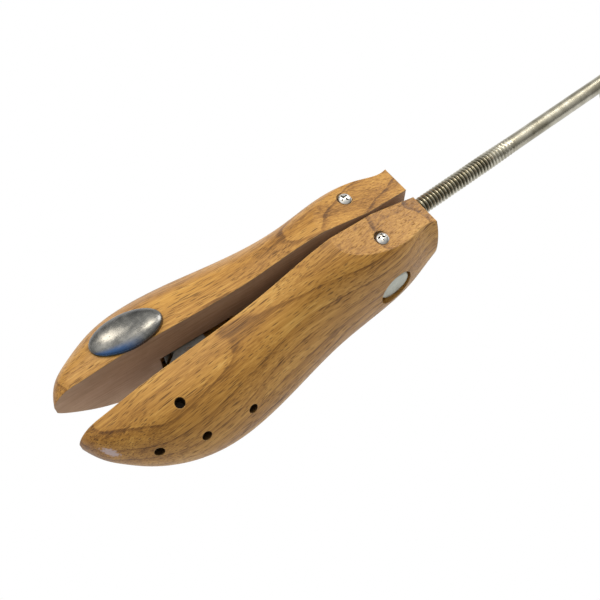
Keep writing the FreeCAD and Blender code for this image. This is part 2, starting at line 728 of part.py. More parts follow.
def make_wedge(label):
    body = new_body(label)
    profile = new_sketch(body, label + "_profile", "XY_Plane")
    nose = wedge_half_width(wedge_nose)
    rear = size("wedge_rear_half")
    add_polygon(profile, [
        (wedge_back, -rear, None, "-Sheet.wedge_rear_half"),
        (wedge_nose, -nose),
        (wedge_nose, nose),
        (wedge_back, rear, None, name_of("wedge_rear_half")),
    ])
    block = pad(body, profile, label + "_pad", size("wedge_height"), name_of("wedge_height"))
    doc.recompute()
    corners = []
    for number, edge in enumerate(body.Shape.Edges, 1):
        low, high = edge.BoundBox.ZMin, edge.BoundBox.ZMax
        if high - low > 1:
            corners.append("Edge%d" % number)
    fillet = body.newObject("PartDesign::Fillet", label + "_corners")
    fillet.Base = (block, corners)
    fillet.setExpression("Radius", name_of("wedge_round"))
    bore = new_sketch(body, label + "_journal_bore", "YZ_Plane",
                      Placement(Vector(0, 0, wedge_back), Rotation()))
    add_circle(bore, (0, 0), size("journal_radius") + size("running_gap"),
               "Sheet.journal_radius + Sheet.running_gap")
    cut_pocket(body, bore, label + "_journal_bore_cut", 2 * (size("journal_length") + 1),
               "2 * (Sheet.journal_length + 1)")
    for side, word in ((1, "left"), (-1, "right")):
        pin = new_sketch(body, "%s_%s_pin_hole" % (label, word), "XY_Plane")
        add_circle(pin, (groove_middle, side * pin_side), size("pin_radius"),
                   name_of("pin_radius"), (None, "%d * %s" % (side, pin_side_text)))
        cut_pocket(body, pin, "%s_%s_pin_hole_cut" % (label, word), 30)
    body.Placement = seat
    return body


def make_retaining_pins(label):
    """Two dowels that cross the journal's groove and keep the rod in the wedge."""
    pins = []
    for side, word in ((1, "left"), (-1, "right")):
        pin = doc.addObject("Part::Cylinder", "%s_%s" % (label, word))
        pin.setExpression("Radius", name_of("pin_radius"))
        pin.setExpression("Height", name_of("wedge_height"))
        pin.Placement = Placement(
            Vector(groove_middle, side * pin_side, -size("wedge_height") / 2), Rotation())
        pins.append(pin)
    group = doc.addObject("Part::Compound", label)
    group.Label = label
    group.Links = pins
    group.Placement = seat
    return group


def make_washer(label):
    body = new_body(label)
    ring = new_sketch(body, label + "_ring", "YZ_Plane",
                      Placement(Vector(0, 0, washer_back + size("washer_play")), Rotation()))
    add_circle(ring, (0, 0), size("washer_radius"), name_of("washer_radius"))
    add_circle(ring, (0, 0), size("journal_radius") + size("running_gap"),
               "Sheet.journal_radius + Sheet.running_gap")
    pad(body, ring, label + "_pad", size("washer_thickness") - size("washer_play"),
        "Sheet.washer_thickness - Sheet.washer_play", both_ways=False)
    body.Placement = seat
    return body


# ---------------------------------------------------------------- handle

def make_hub(label):
    body = new_body(label)
    profile = new_sketch(body, label + "_profile", "XY_Plane")
    middle = -size("handle_back")
    half = size("hub_length") / 2
    radius = size("hub_radius")
    inner = size("shank_radius")
    rod_end = -size("rod_back")
    add_polygon(profile, [
        (middle - half, 0),
        (middle - half, radius - 2),
        (middle - half + 2, radius),
        (middle + half - 3, radius),
        (middle + half, radius - 3),
        (middle + half, inner, None, name_of("shank_radius")),
        (rod_end + 1, inner, None, name_of("shank_radius")),
        (rod_end, inner - 1, "-Sheet.rod_back", "Sheet.shank_radius - 1"),
        (rod_end, 0, "-Sheet.rod_back", None),
    ])
    revolve(body, profile, label + "_turned")
    bar_hole = new_sketch(body, label + "_bar_hole", "XY_Plane")
    add_circle(bar_hole, (middle, 0), size("bar_radius") - size("bar_neck"),
               "Sheet.bar_radius - Sheet.bar_neck", ("-Sheet.handle_back", None))
    cut_pocket(body, bar_hole, label + "_bar_hole_cut", 30)
    cut_pin_hole(body, label)
    body.Placement = seat
    return body


def make_bar(label):
    """Cross bar, necked where it passes through the hub and the rod."""
    body = new_body(label)
    profile = new_sketch(body, label + "_profile", "XZ_Plane")
    middle = -size("handle_back")
    half = size("bar_half_length")
    radius = size("bar_radius")
    neck = radius - size("bar_neck")
    shoulder = size("hub_radius")
    add_polygon(profile, [
        (middle, -half),
        (middle + radius, -half),
        (middle + radius, -shoulder),
        (middle + neck, -shoulder),
        (middle + neck, shoulder),
        (middle + radius, shoulder),
        (middle + radius, half),
        (middle, half),
    ])
    feature = revolve(body, profile, label + "_turned")
    edge_number = profile.GeometryCount - 1
    feature.ReferenceAxis = (profile, ["Edge%d" % (edge_number + 1)])
    body.Placement = seat
    return body


def make_cap(label, way):
    """Ball end with a socket for the bar."""
    body = new_body(label)
    profile = new_sketch(body, label + "_profile", "XZ_Plane",
                         Placement(Vector(-size("handle_back"), 0, 0), Rotation()))
    radius = size("cap_radius")
    socket = size("bar_radius")
    reach = size("bar_half_length")
    depth = size("cap_socket_depth")
    base = reach - depth
    rim = Vector(math.sqrt(radius ** 2 - depth ** 2), way * base, 0)
    crown = Vector(0, way * (reach + radius), 0)
    bulge = Vector(radius, way * reach, 0)
    sketch_chain(profile, [
        crown,
        Vector(0, way * reach, 0),
        Vector(socket, way * reach, 0),
        Vector(socket, way * base, 0),
        rim,
    ])
    profile.addGeometry(Part.Arc(rim, bulge, crown), False)
    for number in range(profile.GeometryCount):
        profile.addConstraint(Sketcher.Constraint("Block", number))
    revolve(body, profile, label + "_turned", "V_Axis")
    body.Placement = seat
    return body


def make_handle_pin(label):
    pin = doc.addObject("Part::Cylinder", label)
    pin.Label = label
    pin.setExpression("Radius", name_of("handle_pin_radius"))
    pin.setExpression("Height", "2 * Sheet.hub_radius - 0.4")
    ahead = Vector(size("handle_pin_ahead") - size("handle_back"), size("hub_radius") - 0.2, 0)
    pin.Placement = seat.multiply(Placement(ahead, Rotation(Vector(1, 0, 0), 90)))
    return pin


# ---------------------------------------------------------------- bunion plug

def plug_place(lift=0.0):
    """Seat of the plug on the right half's top bore; Z leaves the bore."""
    _, spot, way = PLUG_BORE
    place = half_placement(-1).multiply(bore_place(-1, spot, way))
    turn = Rotation(Vector(0, 0, 1), size("dome_turn"))
    return place.multiply(Placement(Vector(0, 0, lift), turn))


def make_plug_dome(label, wood):
    """Oval dome on a skirt; its underside takes the wood's shape and sockets the peg."""
    crown = doc.addObject("Part::Ellipsoid", label + "_crown")
    crown.setExpression("Radius1", name_of("dome_height"))
    crown.setExpression("Radius2", name_of("dome_half_length"))
    crown.setExpression("Radius3", name_of("dome_half_width"))
    crown.Angle1 = 0
    crown.Angle2 = 90
    oval = doc.addObject("Part::Ellipse", label + "_oval")
    oval.setExpression("MajorRadius", name_of("dome_half_length"))
    oval.setExpression("MinorRadius", name_of("dome_half_width"))
    skirt = doc.addObject("Part::Extrusion", label + "_skirt")
    skirt.Base = oval
    skirt.DirMode = "Custom"
    skirt.Dir = Vector(0, 0, -1)
    skirt.setExpression("LengthFwd", name_of("dome_skirt"))
    skirt.Solid = True
    whole = doc.addObject("Part::Fuse", label + "_whole")
    whole.Base = crown
    whole.Tool = skirt
    shift = Vector(size("dome_ahead"), size("dome_inset"), size("dome_rise"))
    whole.Placement = plug_place().multiply(Placement(shift, Rotation()))
    socket = doc.addObject("Part::Cylinder", label + "_socket")
    socket.setExpression("Radius", name_of("bore_radius"))
    socket.setExpression("Height", "Sheet.peg_length + Sheet.peg_head")
    socket.Placement = plug_place(-size("peg_length"))
    # Nothing of the plug hangs into the gap between the halves below its thin lip.
    gap_side = doc.addObject("Part::Box", label + "_gap_side")
    gap_side.setExpression("Length", "4 * Sheet.dome_half_length")
    gap_side.setExpression("Width", name_of("dome_half_width"))
    gap_side.setExpression("Height", name_of("dome_lip_height"))
    reach = PLUG_BORE[1][0] - 2 * size("dome_half_length")
    corner = Placement(Vector(reach, -size("parting_gap") - size("dome_gap"), 0), Rotation())
    gap_side.Placement = half_placement(-1).multiply(corner)
    trimmed = doc.addObject("Part::Cut", label + "_trimmed")
    trimmed.Base = whole
    trimmed.Tool = gap_side
    seated = doc.addObject("Part::Cut", label + "_seated")
    seated.Base = trimmed
    seated.Tool = wood
    fitted = doc.addObject("Part::Cut", label)
    fitted.Label = label
    fitted.Base = seated
    fitted.Tool = socket
    out = plug_place().Rotation.multVec(Vector(0, 0, size("dome_gap")))
    fitted.Placement = Placement(out, Rotation())
    return fitted


def make_plug_peg(label):
    peg = doc.addObject("Part::Cylinder", label)
    peg.Label = label
    peg.setExpression("Radius", name_of("peg_radius"))
    peg.setExpression("Height", "Sheet.peg_length + Sheet.peg_head")
    peg.Placement = plug_place(size("dome_gap") - size("peg_length"))
    return peg


# ---------------------------------------------------------------- the whole shoe tree

pieces = [make_half("left_half", 1), make_half("right_half", -1)]
pieces.append(make_barrel("trunnion_barrel"))
for side, word in ((1, "left"), (-1, "right")):
    pieces.append(make_pivot_screw(word + "_pivot_screw", side))
    pieces.append(make_wear_plate(word + "_wear_plate", side))
    pieces.append(make_plate_screws(word + "_plate_screws", side))
pieces.append(make_wedge("wedge_block"))
pieces.append(make_retaining_pins("wedge_retaining_pins"))
pieces.append(make_washer("thrust_washer"))
pieces.append(make_rod("threaded_rod"))
pieces.append(make_hub("handle_hub"))
pieces.append(make_bar("handle_bar"))
pieces.append(make_cap("upper_handle_cap", 1))
pieces.append(make_cap("lower_handle_cap", -1))
pieces.append(make_handle_pin("handle_pin"))
pieces.append(make_plug_dome("bunion_plug_dome", pieces[1]))
pieces.append(make_plug_peg("bunion_plug_peg"))
doc.recompute()

for item in doc.Objects:
    if "Invalid" in item.State or "Error" in item.State:
        raise RuntimeError("%s is %s" % (item.Label, item.State))
os.makedirs("parts", exist_ok=True)
for piece in pieces:
    if piece.Shape.isNull() or not piece.Shape.isValid():
        raise RuntimeError("%s has a bad shape" % piece.Label)
    piece.Shape.exportStep("parts/%s.step" % piece.Label)
    box = piece.Shape.BoundBox
    print("%-22s %9.1f mm3  x %.2f..%.2f  y %.2f..%.2f  z %.2f..%.2f" % (
        piece.Label, piece.Shape.Volume, box.XMin, box.XMax, box.YMin, box.YMax,
        box.ZMin, box.ZMax))
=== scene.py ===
import math

import bmesh
import bpy
from mathutils import Matrix, Vector


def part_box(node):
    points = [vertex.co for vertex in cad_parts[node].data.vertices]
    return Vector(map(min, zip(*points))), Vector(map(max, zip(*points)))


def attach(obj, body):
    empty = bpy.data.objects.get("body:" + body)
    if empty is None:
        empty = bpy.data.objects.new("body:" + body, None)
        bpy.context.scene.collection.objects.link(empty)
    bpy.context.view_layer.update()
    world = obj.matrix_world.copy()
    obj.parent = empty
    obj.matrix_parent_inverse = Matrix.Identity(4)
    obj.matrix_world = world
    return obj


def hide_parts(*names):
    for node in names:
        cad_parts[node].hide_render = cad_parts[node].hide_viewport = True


# Looks of a split wooden shoe stretcher: varnished hardwood halves, a screw-threaded
# steel rod, a cross barrel, pivot screws and a steel bunion plug. Everything is in metres,
# in the frame of the CAD model: +X to the toe, +Y to the left half, +Z up, sole on Z = 0.

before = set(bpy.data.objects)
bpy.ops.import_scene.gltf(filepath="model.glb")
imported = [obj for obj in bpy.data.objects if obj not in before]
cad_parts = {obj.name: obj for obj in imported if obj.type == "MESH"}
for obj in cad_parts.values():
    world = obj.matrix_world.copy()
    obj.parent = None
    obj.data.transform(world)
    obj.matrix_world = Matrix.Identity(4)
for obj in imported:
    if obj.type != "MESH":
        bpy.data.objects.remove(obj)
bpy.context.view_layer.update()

MM = 0.001

# The barrel's middle is the crossing of the rod's axis and the barrel's axis.
barrel_low, barrel_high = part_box("trunnion_barrel")
AXIS = (barrel_low + barrel_high) / 2
rod_low, rod_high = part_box("threaded_rod")
washer_low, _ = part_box("thrust_washer")
PIVOT_SIDE = 14.0 * MM
REST_SWING = math.radians(3.26)


# ---------------------------------------------------------------- node helpers

def new_material(name):
    material = bpy.data.materials.new(name)
    material.use_nodes = True
    tree = material.node_tree
    tree.nodes.clear()
    return material, tree


def node(tree, kind, inputs=None, **settings):
    """Adds a node; inputs maps socket names or numbers to values or to other sockets."""
    made = tree.nodes.new(kind)
    for key, value in settings.items():
        setattr(made, key, value)
    for key, value in (inputs or {}).items():
        socket = made.inputs[key]
        if isinstance(value, bpy.types.NodeSocket):
            tree.links.new(value, socket)
        else:
            socket.default_value = value
    return made


def maths(tree, operation, first, second=0.0, third=0.0, clamp=False):
    made = node(tree, "ShaderNodeMath", {0: first, 1: second, 2: third}, operation=operation)
    made.use_clamp = clamp
    return made.outputs[0]


def vector_maths(tree, operation, first, second=(0.0, 0.0, 0.0)):
    made = node(tree, "ShaderNodeVectorMath", {0: first, 1: second}, operation=operation)
    return made.outputs["Value" if operation in ("LENGTH", "DOT_PRODUCT") else "Vector"]


def fade(tree, value, low, high, out_low=0.0, out_high=1.0):
    """Smooth step from out_low to out_high as value goes from low to high."""
    made = node(tree, "ShaderNodeMapRange", interpolation_type="SMOOTHSTEP")
    for socket, number in zip(made.inputs, (value, low, high, out_low, out_high)):
        if isinstance(number, bpy.types.NodeSocket):
            tree.links.new(number, socket)
        else:
            socket.default_value = number
    return made.outputs[0]


def ramp(tree, value, stops):
    """Colour ramp; stops are (position, (red, green, blue))."""
    made = node(tree, "ShaderNodeValToRGB", {0: value})
    points = made.color_ramp.elements
    while len(points) < len(stops):
        points.new(0.5)
    for point, (position, colour) in zip(points, stops):
        point.position = position
        point.color = (*colour, 1.0)
    return made.outputs["Color"]


def noise(tree, where, scale, detail=3.0, rough=0.5, distortion=0.0):
    inputs = {"Vector": where, "Scale": scale, "Detail": detail, "Roughness": rough,
              "Distortion": distortion}
    return node(tree, "ShaderNodeTexNoise", inputs).outputs[0]


def cells(tree, where, scale, randomness=1.0):
    inputs = {"Vector": where, "Scale": scale, "Randomness": randomness}
    return node(tree, "ShaderNodeTexVoronoi", inputs).outputs


def mixed(tree, share, first, second, blend="MIX"):
    """Mix of two colours; share 0 gives the first."""
    made = node(tree, "ShaderNodeMix", data_type="RGBA", blend_type=blend)
    colours = [s for s in made.inputs if s.type == "RGBA"]
    for socket, value in ((made.inputs[0], share), (colours[0], first), (colours[1], second)):
        if isinstance(value, bpy.types.NodeSocket):
            tree.links.new(value, socket)
        else:
            socket.default_value = value if socket == made.inputs[0] else (*value, 1.0)
    return [s for s in made.outputs if s.type == "RGBA"][0]


def millimetres(tree, origin, turn=0.0):
    """Object coordinates in millimetres about an origin, turned back about Z."""
    coordinates = node(tree, "ShaderNodeTexCoord")
    rotation = Matrix.Rotation(-turn, 3, "Z")
    shift = -(rotation @ Vector(origin)) / MM
    mapping = node(tree, "ShaderNodeMapping", {
        "Vector": coordinates.outputs["Object"], "Location": tuple(shift),
        "Rotation": (0.0, 0.0, -turn), "Scale": (1 / MM, 1 / MM, 1 / MM)})
    return mapping.outputs[0], coordinates.outputs["Normal"]


def stretched(tree, where, along, across, up=None):
    """Coordinates scaled so that a pattern is long where the factor is small."""
    factors = (along, across, across if up is None else up)
    return vector_maths(tree, "MULTIPLY", where, factors)


def surface(tree, colour, rough, metal=0.0, normal=None, specular=0.5, coat=0.0,
            coat_rough=0.2):
    inputs = {"Base Color": colour, "Roughness": rough, "Metallic": metal,
              "Specular IOR Level": specular, "Coat Weight": coat,
              "Coat Roughness": coat_rough}
    if normal is not None:
        inputs["Normal"] = normal
    if isinstance(colour, tuple):
        inputs["Base Color"] = (*colour, 1.0)
    shader = node(tree, "ShaderNodeBsdfPrincipled", inputs)
    node(tree, "ShaderNodeOutputMaterial", {0: shader.outputs[0]})


def bump(tree, height, strength, distance, normal=None):
    inputs = {"Height": height, "Strength": strength, "Distance": distance}
    if normal is not None:
        inputs["Normal"] = normal
    return node(tree, "ShaderNodeBump", inputs).outputs[0]


def soft_edges(tree, radius):
    return node(tree, "ShaderNodeBevel", {"Radius": radius}, samples=4).outputs[0]


# ---------------------------------------------------------------- wood

HONEY = [
    (0.00, (0.095, 0.037, 0.006)),
    (0.25, (0.215, 0.094, 0.015)),
    (0.50, (0.375, 0.180, 0.033)),
    (0.75, (0.490, 0.258, 0.055)),
    (1.00, (0.590, 0.350, 0.095)),
]
# Width of one growth ring, in millimetres.
RING_WIDTH = 6.2
# Hollows are darkened with painted shade over this reach.
HOLLOW_SHADE_REACH = 10 * MM
# Radius that the wood's sharp edges are rubbed to.
RUBBED_EDGE = 0.7 * MM

# The chipped patch, in the left half's frame and in millimetres.
SCUFF_MIDDLE = (157.0, 12.6, 20.6)
SCUFF_WAY = (-0.54, 0.66, -0.52)
SCUFF_HALF_LENGTH = 5.0
SCUFF_HALF_WIDTH = 2.3


def scuff_patch(tree, where):
    """Small patch by the tip of the toe where the varnish has chipped off."""
    from_middle = vector_maths(tree, "SUBTRACT", where, SCUFF_MIDDLE)
    along = vector_maths(tree, "DOT_PRODUCT", from_middle, SCUFF_WAY)
    distance = vector_maths(tree, "LENGTH", from_middle)
    along_squared = maths(tree, "POWER", maths(tree, "ABSOLUTE", along), 2.0)
    beside = maths(tree, "SUBTRACT", maths(tree, "POWER", distance, 2.0), along_squared)
    length_share = maths(tree, "DIVIDE", along_squared, SCUFF_HALF_LENGTH ** 2)
    width_share = maths(tree, "DIVIDE", beside, SCUFF_HALF_WIDTH ** 2)
    reach = maths(tree, "ADD", length_share, width_share)
    ragged = noise(tree, where, 0.9, 3.0, 0.6)
    reach = maths(tree, "MULTIPLY_ADD", maths(tree, "SUBTRACT", ragged, 0.5), 2.6, reach)
    return fade(tree, reach, 0.35, 1.15, 0.80, 0.0)


def make_wood(name, side, heart, seed, scuffed=False):
    """Varnished hardwood cut from a plank whose growth rings run round the line heart
    (side, height in millimetres from the mechanism's axis), along the half's length."""
    material, tree = new_material(name)
    pivot = AXIS + Vector((0.0, side * PIVOT_SIDE, 0.0))
    where, facing = millimetres(tree, pivot, side * REST_SWING)
    where = vector_maths(tree, "ADD", where, (0.0, side * PIVOT_SIDE / MM, 0.0))
    plank = vector_maths(tree, "ADD", where, (seed, 0.0, 0.0))

    # Slow wander of the fibres, mostly sideways.
    wander = node(tree, "ShaderNodeTexNoise", {
        "Vector": stretched(tree, plank, 0.010, 0.035), "Scale": 1.0, "Detail": 2.0})
    push = vector_maths(tree, "SUBTRACT", wander.outputs["Color"], (0.5, 0.5, 0.5))
    push = vector_maths(tree, "MULTIPLY", push, (0.0, 9.0, 9.0))
    grain = vector_maths(tree, "ADD", plank, push)

    # Growth rings: a slow rise to the dark line of late wood, then a quick return.
    from_heart = vector_maths(tree, "SUBTRACT", grain, (0.0, heart[0], heart[1]))
    from_heart = vector_maths(tree, "MULTIPLY", from_heart, (0.0, 1.0, 1.0))
    ring = maths(tree, "DIVIDE", vector_maths(tree, "LENGTH", from_heart), RING_WIDTH)
    ring = maths(tree, "FRACT", ring)
    edge = fade(tree, ring, 0.97, 1.0, 1.0, 0.0)
    late = maths(tree, "MULTIPLY", fade(tree, ring, 0.40, 0.97), edge)
    line = maths(tree, "MULTIPLY", fade(tree, ring, 0.86, 0.95), edge)

    bands = noise(tree, stretched(tree, grain, 0.0065, 0.075), 1.0, 3.0, 0.55)
    fibres = noise(tree, stretched(tree, grain, 0.017, 0.85), 1.0, 4.0, 0.70)
    hairs = noise(tree, stretched(tree, grain, 0.045, 2.3), 1.0, 3.0, 0.6)

    tone = maths(tree, "MULTIPLY_ADD", maths(tree, "SUBTRACT", bands, 0.5), 1.15, 0.60)
    tone = maths(tree, "MULTIPLY_ADD", maths(tree, "SUBTRACT", fibres, 0.5), 1.15, tone)
    tone = maths(tree, "MULTIPLY_ADD", maths(tree, "SUBTRACT", hairs, 0.5), 0.85, tone)
    tone = maths(tree, "MULTIPLY_ADD", late, -0.14, tone)
    tone = maths(tree, "MULTIPLY_ADD", line, -0.18, tone)

    # Open pores: long dark vessels lying in the grain, thicker in some places.
    crowd = noise(tree, stretched(tree, grain, 0.03, 0.22), 1.0, 2.0)
    vessels = cells(tree, stretched(tree, grain, 0.060, 0.80), 1.0)["Distance"]
    reach = fade(tree, crowd, 0.36, 0.64, 0.14, 0.34)
    pores = fade(tree, maths(tree, "DIVIDE", vessels, reach), 0.45, 1.0, 1.0, 0.0)
    fine_vessels = cells(tree, stretched(tree, grain, 0.12, 1.35), 1.0)["Distance"]
    fine_pores = fade(tree, fine_vessels, 0.14, 0.35, 0.95, 0.0)
    all_pores = maths(tree, "MAXIMUM", pores, fine_pores)

    # A facet that cuts across the fibres shows its pores as faint dots.
    split = node(tree, "ShaderNodeSeparateXYZ", {0: facing})
    pore_share = fade(tree, split.outputs[0], -0.27, -0.17, 0.40, 0.74)
    colour = ramp(tree, tone, HONEY)
    colour = mixed(tree, maths(tree, "MULTIPLY", all_pores, pore_share), colour,
                   (0.075, 0.032, 0.010))

    # End grain drinks more varnish and goes browner.
    ends = fade(tree, maths(tree, "ABSOLUTE", split.outputs[0]), 0.45, 0.95, 0.0, 0.62)
    colour = mixed(tree, ends, colour, (0.62, 0.50, 0.36), "MULTIPLY")

    # The parting face is left as the saw cut it: dull, greyer, with a fine fuzz.
    toward = maths(tree, "MULTIPLY", split.outputs[1], -float(side))
    sawn = fade(tree, toward, 0.90, 0.965)
    marks = noise(tree, stretched(tree, plank, 0.10, 0.9, 1.1), 1.0, 4.0, 0.65)
    dust = noise(tree, plank, 0.06, 4.0, 0.6)
    raw_tone = maths(tree, "MULTIPLY_ADD", marks, 0.35, maths(tree, "MULTIPLY", dust, 0.5))
    raw_tone = maths(tree, "MULTIPLY_ADD", maths(tree, "SUBTRACT", fibres, 0.5), 0.55, raw_tone)
    raw = ramp(tree, raw_tone, [
        (0.10, (0.230, 0.140, 0.082)),
        (0.45, (0.430, 0.285, 0.185)),
        (0.80, (0.600, 0.440, 0.325)),
    ])
    colour = mixed(tree, sawn, colour, raw)

    # Rubbed edges show a thin pale line where the varnish is worn.
    rounded = soft_edges(tree, RUBBED_EDGE)
    geometry = node(tree, "ShaderNodeNewGeometry")
    bend = vector_maths(tree, "DOT_PRODUCT", rounded, geometry.outputs["Normal"])
    worn = maths(tree, "MULTIPLY", fade(tree, bend, 0.80, 0.995, 0.62, 0.0),
                 fade(tree, noise(tree, plank, 0.35, 2.0), 0.30, 0.60))
    colour = mixed(tree, worn, colour, (0.66, 0.44, 0.18))

    if scuffed:
        colour = mixed(tree, scuff_patch(tree, where), colour, (0.52, 0.42, 0.43))

    # Painted shade: drilled holes and milled hollows are darkened to near black.
    open_sky = node(tree, "ShaderNodeAmbientOcclusion", {"Distance": HOLLOW_SHADE_REACH},
                    samples=8, only_local=True)
    hollow_shade = fade(tree, open_sky.outputs["AO"], 0.34, 0.74, 0.93, 0.0)
    colour = mixed(tree, hollow_shade, colour, (0.018, 0.011, 0.006))

    patches = noise(tree, plank, 0.05, 3.0)
    gloss = maths(tree, "MULTIPLY_ADD", patches, 0.14, 0.38)
    gloss = maths(tree, "MULTIPLY_ADD", all_pores, 0.25, gloss)
    gloss = maths(tree, "MULTIPLY_ADD", sawn, 0.40, gloss, clamp=True)
    relief = maths(tree, "MULTIPLY_ADD", all_pores, -1.0, maths(tree, "MULTIPLY", hairs, 0.35))
    relief = maths(tree, "MULTIPLY_ADD", maths(tree, "MULTIPLY", sawn, marks), 1.2, relief)
    normal = bump(tree, relief, 0.35, 0.12 * MM, rounded)
    surface(tree, colour, gloss, normal=normal, specular=0.30, coat=0.07, coat_rough=0.30)
    return material


# ---------------------------------------------------------------- metals

# Painted shade in the recesses of a screw's head reaches this far.
RECESS_SHADE_REACH = 1.5 * MM


def make_steel(name, dark, light, rough=(0.22, 0.40), grime=0.3, grain=(0.08, 1.5, 1.5),
               blotch=0.12, relief=0.15, edge=0.3, shade=0.0):
    """Bare or plated steel: brushed grain, cloudy tarnish, roughness that varies. Painted shade
    darkens its recesses by the share shade."""
    material, tree = new_material(name)
    where, _ = millimetres(tree, AXIS)
    brushed = noise(tree, vector_maths(tree, "MULTIPLY", where, grain), 1.0, 4.0, 0.6)
    clouds = noise(tree, where, blotch, 5.0, 0.62, 0.6)
    specks = fade(tree, noise(tree, where, 1.6, 2.0), 0.62, 0.72)
    tone = maths(tree, "MULTIPLY_ADD", brushed, 0.35, maths(tree, "MULTIPLY", clouds, 0.65))
    colour = ramp(tree, tone, [(0.30, dark), (0.68, light)])
    colour = mixed(tree, maths(tree, "MULTIPLY", specks, grime), colour,
                   tuple(0.35 * part for part in dark))
    # Painted shade: recesses are darkened toward near black.
    if shade:
        open_sky = node(tree, "ShaderNodeAmbientOcclusion", {"Distance": RECESS_SHADE_REACH},
                        samples=8, only_local=True)
        recess_shade = fade(tree, open_sky.outputs["AO"], 0.45, 0.92, shade, 0.0)
        colour = mixed(tree, recess_shade, colour, (0.03, 0.027, 0.022))
    gloss = maths(tree, "MULTIPLY_ADD", tone, rough[1] - rough[0], rough[0])
    gloss = maths(tree, "MULTIPLY_ADD", specks, 0.2, gloss, clamp=True)
    normal = bump(tree, brushed, relief, 0.03 * MM, soft_edges(tree, edge * MM))
    surface(tree, colour, gloss, metal=1.0, normal=normal)
    return material


def make_rod_steel(name, root_radius, crest_radius):
    """Nickel-plated rod with old oil in the roots of its thread."""
    material, tree = new_material(name)
    where, _ = millimetres(tree, AXIS)
    across = vector_maths(tree, "MULTIPLY", where, (0.0, 1.0, 1.0))
    radius = vector_maths(tree, "LENGTH", across)
    brushed = noise(tree, stretched(tree, where, 1.6, 0.25), 1.0, 3.0)
    clouds = noise(tree, where, 0.10, 4.0, 0.6)
    colour = ramp(tree, clouds, [
        (0.34, (0.33, 0.305, 0.235)),
        (0.66, (0.60, 0.575, 0.485)),
    ])
    depth = fade(tree, radius, root_radius / MM + 0.15, crest_radius / MM - 0.12, 1.0, 0.0)
    oily = maths(tree, "MULTIPLY", depth, fade(tree, clouds, 0.30, 0.70, 0.95, 0.70))
    colour = mixed(tree, oily, colour, (0.060, 0.058, 0.026))
    gloss = maths(tree, "MULTIPLY_ADD", brushed, 0.16, 0.20)
    gloss = maths(tree, "MULTIPLY_ADD", depth, 0.25, gloss, clamp=True)
    normal = bump(tree, brushed, 0.12, 0.02 * MM)
    surface(tree, colour, gloss, metal=1.0, normal=normal)
    return material


def make_barrel_steel(name):
    """Turned barrel: fine rings on its faces, dull grey."""
    material, tree = new_material(name)
    where, _ = millimetres(tree, AXIS)
    across = vector_maths(tree, "MULTIPLY", where, (1.0, 0.0, 1.0))
    radius = vector_maths(tree, "LENGTH", across)
    rings = node(tree, "ShaderNodeTexNoise", {
        "W": maths(tree, "MULTIPLY", radius, 3.0), "Scale": 1.0, "Detail": 3.0},
        noise_dimensions="1D").outputs[0]
    clouds = noise(tree, where, 0.22, 4.0, 0.6)
    tone = maths(tree, "MULTIPLY_ADD", rings, 0.4, maths(tree, "MULTIPLY", clouds, 0.6))
    colour = ramp(tree, tone, [(0.35, (0.31, 0.32, 0.27)), (0.65, (0.49, 0.50, 0.44))])
    gloss = maths(tree, "MULTIPLY_ADD", clouds, 0.18, 0.34)
    normal = bump(tree, rings, 0.25, 0.03 * MM, soft_edges(tree, 0.3 * MM))
    surface(tree, colour, gloss, metal=0.85, normal=normal)
    return material


def make_plug_steel(name):
    """Old pressed dome: mottled tarnish, with a painted dark brownish reflection round the rim
    and a painted blue reflection on one side of it.
    """
    material, tree = new_material(name)
    low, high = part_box("bunion_plug_dome")
    where, facing = millimetres(tree, (low + high) / 2)
    clouds = noise(tree, where, 0.16, 6.0, 0.66, 0.5)
    scratches = noise(tree, stretched(tree, where, 0.25, 2.4), 1.0, 3.0)
    specks = fade(tree, noise(tree, where, 1.1, 3.0, 0.6), 0.58, 0.70)
    tone = maths(tree, "MULTIPLY_ADD", scratches, 0.25, maths(tree, "MULTIPLY", clouds, 0.75))
    colour = ramp(tree, tone, [
        (0.34, (0.100, 0.100, 0.098)),
        (0.50, (0.170, 0.170, 0.166)),
        (0.66, (0.285, 0.281, 0.268)),
    ])
    turned = node(tree, "ShaderNodeSeparateXYZ", {0: facing})
    # Painted reflection: the dome goes darker where it turns down toward its rim.
    rim = fade(tree, turned.outputs[2], 0.55, 0.88, 1.0, 0.0)
    colour = mixed(tree, maths(tree, "MULTIPLY", rim, 0.75), colour, (0.13, 0.12, 0.105))
    # Painted blue reflection on the rim, toward the toe on the parting side.
    painted_blue_reflection = maths(tree, "MULTIPLY", fade(tree, turned.outputs[1], 0.10, 0.46),
                      fade(tree, turned.outputs[0], -0.12, 0.26))
    colour = mixed(tree, maths(tree, "MULTIPLY", painted_blue_reflection, 0.85), colour,
                   (0.055, 0.145, 0.36))
    colour = mixed(tree, maths(tree, "MULTIPLY", specks, 0.35), colour, (0.10, 0.09, 0.075))
    gloss = maths(tree, "MULTIPLY_ADD", clouds, 0.20, 0.165)
    gloss = maths(tree, "MULTIPLY_ADD", specks, 0.2, gloss, clamp=True)
    normal = bump(tree, maths(tree, "MULTIPLY_ADD", clouds, 1.5, scratches), 0.07, 0.05 * MM)
    surface(tree, colour, gloss, metal=1.0, normal=normal)
    return material


# ---------------------------------------------------------------- threaded rod

PITCH = 25.4 * MM / 12
THREAD_DEPTH = 0.6134 * PITCH
ROD_RADIUS = (rod_high.y - rod_low.y) / 2
SHANK_RADIUS = 4.375 * MM
THREAD_BACK = AXIS.x - 110.0 * MM
CREST_FADE = 20.0 * MM
ROOT_FADE = 26.0 * MM
JOURNAL_RADIUS = 3.5 * MM
JOURNAL_PLAY = 0.02 * MM
BACK_CHAMFER = 1.0 * MM
FRONT_CHAMFER = 0.8 * MM
THREAD_FRONT = washer_low.x - 0.1 * MM
STEPS = 48
# One pitch of the thread: share of the pitch, share of the depth below the crest.
PROFILE = [(0.00, 1.0), (0.08, 1.0), (0.38, 0.14), (0.43, 0.0), (0.57, 0.0), (0.62, 0.14),
           (0.92, 1.0)]


